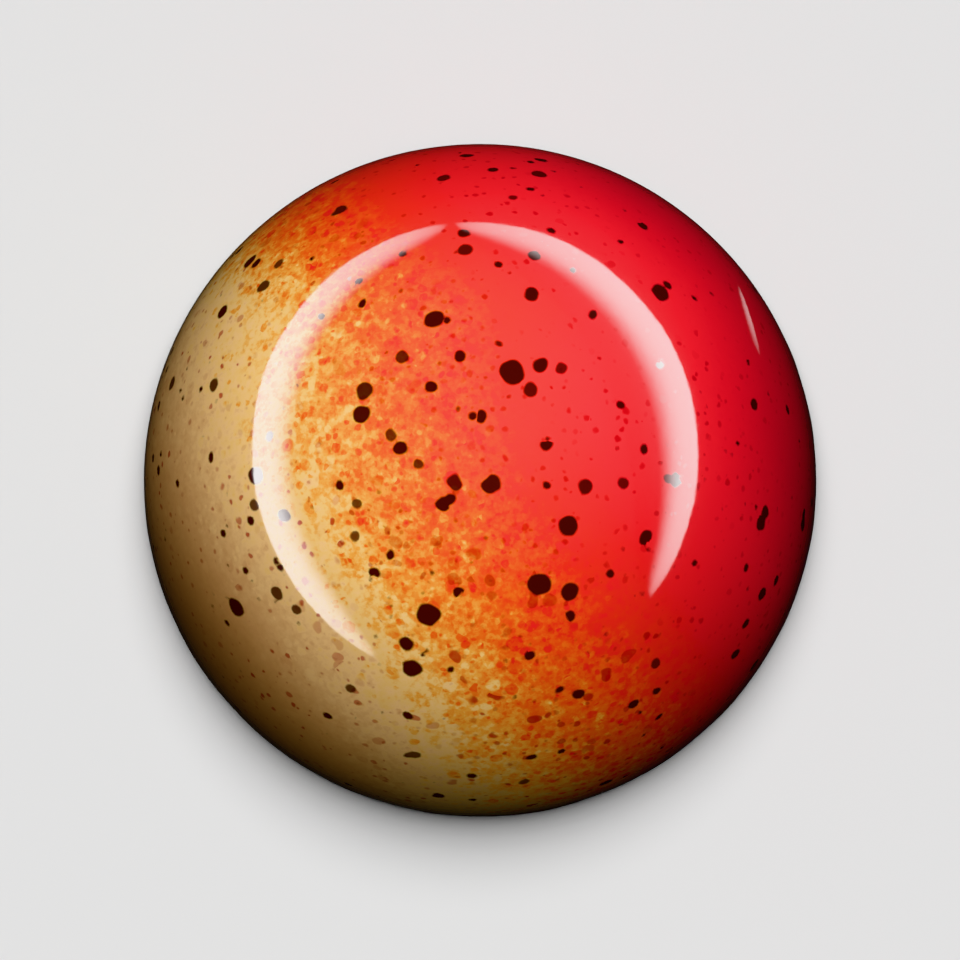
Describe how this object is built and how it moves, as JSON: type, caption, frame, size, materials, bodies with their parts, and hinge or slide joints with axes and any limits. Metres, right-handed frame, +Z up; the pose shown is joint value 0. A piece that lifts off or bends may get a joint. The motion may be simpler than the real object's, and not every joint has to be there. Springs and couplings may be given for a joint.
{
  "type": "chocolate bonbon",
  "caption": "Half-sphere moulded chocolate bonbon with a flat base, its glossy shell sprayed from gold to red and spattered with dark drops.",
  "frame": {"origin": "middle of the flat base, on the surface that the bonbon rests on", "axes": "+Z up out of the dome's top; +X towards the red side of the spray, with the gold side towards -X"},
  "size_m": [0.03, 0.03, 0.0155],
  "materials": {
    "painted_shell": "gloss",
    "bare_chocolate": "satin"
  },
  "bodies": {
    "root": {"bonbon": "painted_shell"}
  },
  "joints": []
}
